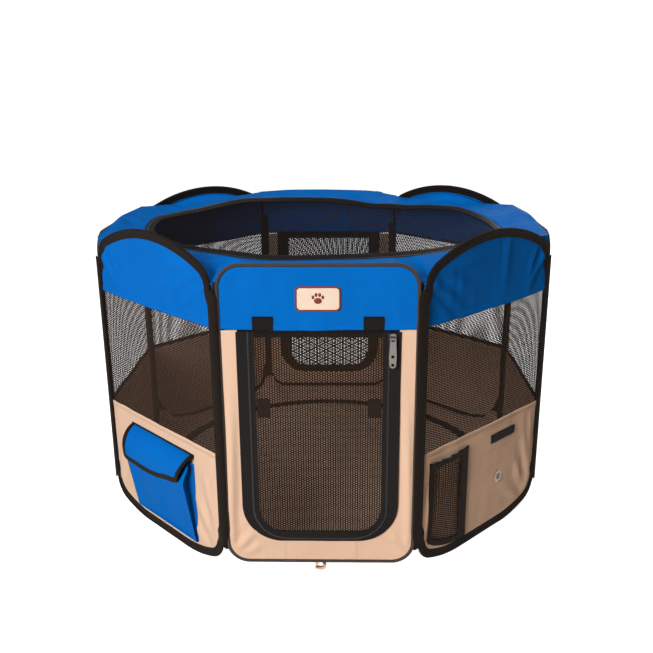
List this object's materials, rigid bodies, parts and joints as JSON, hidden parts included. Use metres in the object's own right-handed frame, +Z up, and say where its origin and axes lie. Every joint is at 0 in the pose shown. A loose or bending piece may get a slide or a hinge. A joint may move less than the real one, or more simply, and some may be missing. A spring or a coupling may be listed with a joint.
{
  "type": "folding pet playpen",
  "caption": "Octagonal folding pet playpen of wire-framed fabric and mesh walls, with zipped doors, outside pockets, a drinking-bottle eyelet, and a zipped mesh roof and floor.",
  "frame": {"origin": "on the ground under the middle of the open pen", "axes": "+Z up; the front door panel faces -Y; +X is to the right as seen from the front"},
  "size_m": [0.9732, 0.9908, 0.6649],
  "materials": {
    "blue_canvas": "matt woven polyester with a slight sheen",
    "beige_canvas": "matt woven polyester",
    "floor_cloth": "matt coated cloth",
    "black_mesh": "open knitted net",
    "black_binding": "folded grosgrain tape",
    "black_webbing": "woven tape",
    "hook_tape": "hook and loop pile",
    "label_cloth": "smooth sewn label",
    "spring_wire": "drawn spring wire",
    "zip_metal": "nickel plated",
    "eyelet_metal": "nickel plated"
  },
  "bodies": {
    "wall_front": {"binding_front": "black_binding", "wire_frame_front": "spring_wire", "top_fabric_front": "blue_canvas", "lower_fabric_front": "beige_canvas", "zip_tape_front": "black_webbing", "label_patch": "label_cloth", "roof_collar": "blue_canvas", "floor_border": "beige_canvas", "floor_mat": "floor_cloth"},
    "wall_front_right": {"binding_front_right": "black_binding", "wire_frame_front_right": "spring_wire", "top_fabric_front_right": "blue_canvas", "lower_fabric_front_right": "beige_canvas", "mesh_front_right": "black_mesh", "net_pocket": "black_mesh", "grommet": "eyelet_metal", "hook_tab": "hook_tape"},
    "wall_right": {"binding_right": "black_binding", "wire_frame_right": "spring_wire", "top_fabric_right": "blue_canvas", "lower_fabric_right": "beige_canvas", "mesh_right": "black_mesh"},
    "wall_back_right": {"binding_back_right": "black_binding", "wire_frame_back_right": "spring_wire", "top_fabric_back_right": "blue_canvas", "lower_fabric_back_right": "beige_canvas", "mesh_back_right": "black_mesh"},
    "wall_back": {"binding_back": "black_binding", "wire_frame_back": "spring_wire", "top_fabric_back": "blue_canvas", "lower_fabric_back": "beige_canvas", "zip_tape_back": "black_webbing"},
    "wall_back_left": {"binding_back_left": "black_binding", "wire_frame_back_left": "spring_wire", "top_fabric_back_left": "blue_canvas", "lower_fabric_back_left": "beige_canvas", "mesh_back_left": "black_mesh"},
    "wall_left": {"binding_left": "black_binding", "wire_frame_left": "spring_wire", "top_fabric_left": "blue_canvas", "lower_fabric_left": "beige_canvas", "mesh_left": "black_mesh"},
    "wall_front_left": {"binding_front_left": "black_binding", "wire_frame_front_left": "spring_wire", "top_fabric_front_left": "blue_canvas", "lower_fabric_front_left": "beige_canvas", "mesh_front_left": "black_mesh", "pocket_body": "blue_canvas"},
    "front_door": {"door_tape_front": "black_webbing", "door_mesh_front": "black_mesh"},
    "front_zip_slider": {"zip_slider_front": "zip_metal"},
    "front_zip_pull": {"zip_pull_front": "zip_metal"},
    "back_door": {"door_tape_back": "black_webbing", "door_mesh_back": "black_mesh"},
    "back_zip_slider": {"zip_slider_back": "zip_metal"},
    "back_zip_pull": {"zip_pull_back": "zip_metal"},
    "pocket_flap": {"pocket_flap": "blue_canvas"},
    "roof_ring": {"roof_zip_tape": "black_webbing"},
    "roof_lid": {"roof_lid": "black_mesh"},
    "roof_zip_slider": {"roof_zip_slider": "zip_metal"}
  },
  "joints": [
    {"name": "fold", "type": "hinge", "parent": "wall_right", "child": "wall_back_right", "pos_m": [0.47862, 0.188, 0.3], "axis": [0, 0, 1], "range_deg": [0, 123], "deforming": ["roof_collar", "roof_zip_tape", "roof_lid", "floor_border", "floor_mat"]},
    {"name": "corner_front_right_side", "type": "hinge", "parent": "wall_front", "child": "wall_front_right", "pos_m": [0.188, -0.47862, 0.3], "axis": [0, 0, 1], "range_deg": [-41, 0]},
    {"name": "corner_right_front", "type": "hinge", "parent": "wall_front_right", "child": "wall_right", "pos_m": [0.47862, -0.188, 0.3], "axis": [0, 0, 1], "range_deg": [-41, 0]},
    {"name": "corner_back_right_side", "type": "hinge", "parent": "wall_back_right", "child": "wall_back", "pos_m": [0.188, 0.47862, 0.3], "axis": [0, 0, 1], "range_deg": [-41, 0]},
    {"name": "corner_front_left_side", "type": "hinge", "parent": "wall_front", "child": "wall_front_left", "pos_m": [-0.188, -0.47862, 0.3], "axis": [0, 0, 1], "range_deg": [0, 41]},
    {"name": "second_fold", "type": "hinge", "parent": "wall_front_left", "child": "wall_left", "pos_m": [-0.47862, -0.188, 0.3], "axis": [0, 0, 1], "range_deg": [-123, 0]},
    {"name": "corner_left_back", "type": "hinge", "parent": "wall_left", "child": "wall_back_left", "pos_m": [-0.47862, 0.188, 0.3], "axis": [0, 0, 1], "range_deg": [0, 41]},
    {"name": "roof_ring_draws_in", "type": "slide", "parent": "wall_front", "child": "roof_ring", "axis": [0, -1, 0], "range_m": [0, 0.25]},
    {"name": "front_door_lift", "type": "hinge", "parent": "wall_front", "child": "front_door", "pos_m": [0, -0.48262, 0.506], "axis": [1, 0, 0], "range_deg": [-115, 0]},
    {"name": "front_zip_run", "type": "slide", "parent": "wall_front", "child": "front_zip_slider", "axis": [0, 0, 1], "range_m": [-0.33, 0]},
    {"name": "front_zip_pull_swing", "type": "hinge", "parent": "front_zip_slider", "child": "front_zip_pull", "pos_m": [0.1355, -0.49242, 0.4945], "axis": [1, 0, 0], "range_deg": [-150, 0]},
    {"name": "back_door_lift", "type": "hinge", "parent": "wall_back", "child": "back_door", "pos_m": [0, 0.48262, 0.506], "axis": [-1, 0, 0], "range_deg": [-115, 0]},
    {"name": "back_zip_run", "type": "slide", "parent": "wall_back", "child": "back_zip_slider", "axis": [0, 0, 1], "range_m": [-0.33, 0]},
    {"name": "back_zip_pull_swing", "type": "hinge", "parent": "back_zip_slider", "child": "back_zip_pull", "pos_m": [-0.1355, 0.49242, 0.4945], "axis": [-1, 0, 0], "range_deg": [-150, 0]},
    {"name": "pocket_flap_lift", "type": "hinge", "parent": "wall_front_left", "child": "pocket_flap", "pos_m": [-0.3378, -0.3378, 0.224], "axis": [0.7071, -0.7071, 0], "range_deg": [-75, 0]},
    {"name": "roof_lid_lift", "type": "hinge", "parent": "wall_front", "child": "roof_lid", "pos_m": [0.412, 0, 0.6204], "axis": [0, -1, 0], "range_deg": [-110, 0]},
    {"name": "roof_zip_run", "type": "hinge", "parent": "roof_ring", "child": "roof_zip_slider", "pos_m": [0, 0, 0.6204], "axis": [0, 0, 1], "range_deg": [-300, 0]}
  ],
  "couplings": [
    {"joint": "corner_front_right_side", "follows": "fold", "ratio": -0.33333},
    {"joint": "corner_right_front", "follows": "fold", "ratio": -0.33333},
    {"joint": "corner_back_right_side", "follows": "fold", "ratio": -0.33333},
    {"joint": "corner_front_left_side", "follows": "fold", "ratio": 0.33333},
    {"joint": "second_fold", "follows": "fold", "ratio": -1},
    {"joint": "corner_left_back", "follows": "fold", "ratio": 0.33333},
    {"joint": "roof_ring_draws_in", "follows": "fold", "m_per_rad": 0.11646}
  ]
}
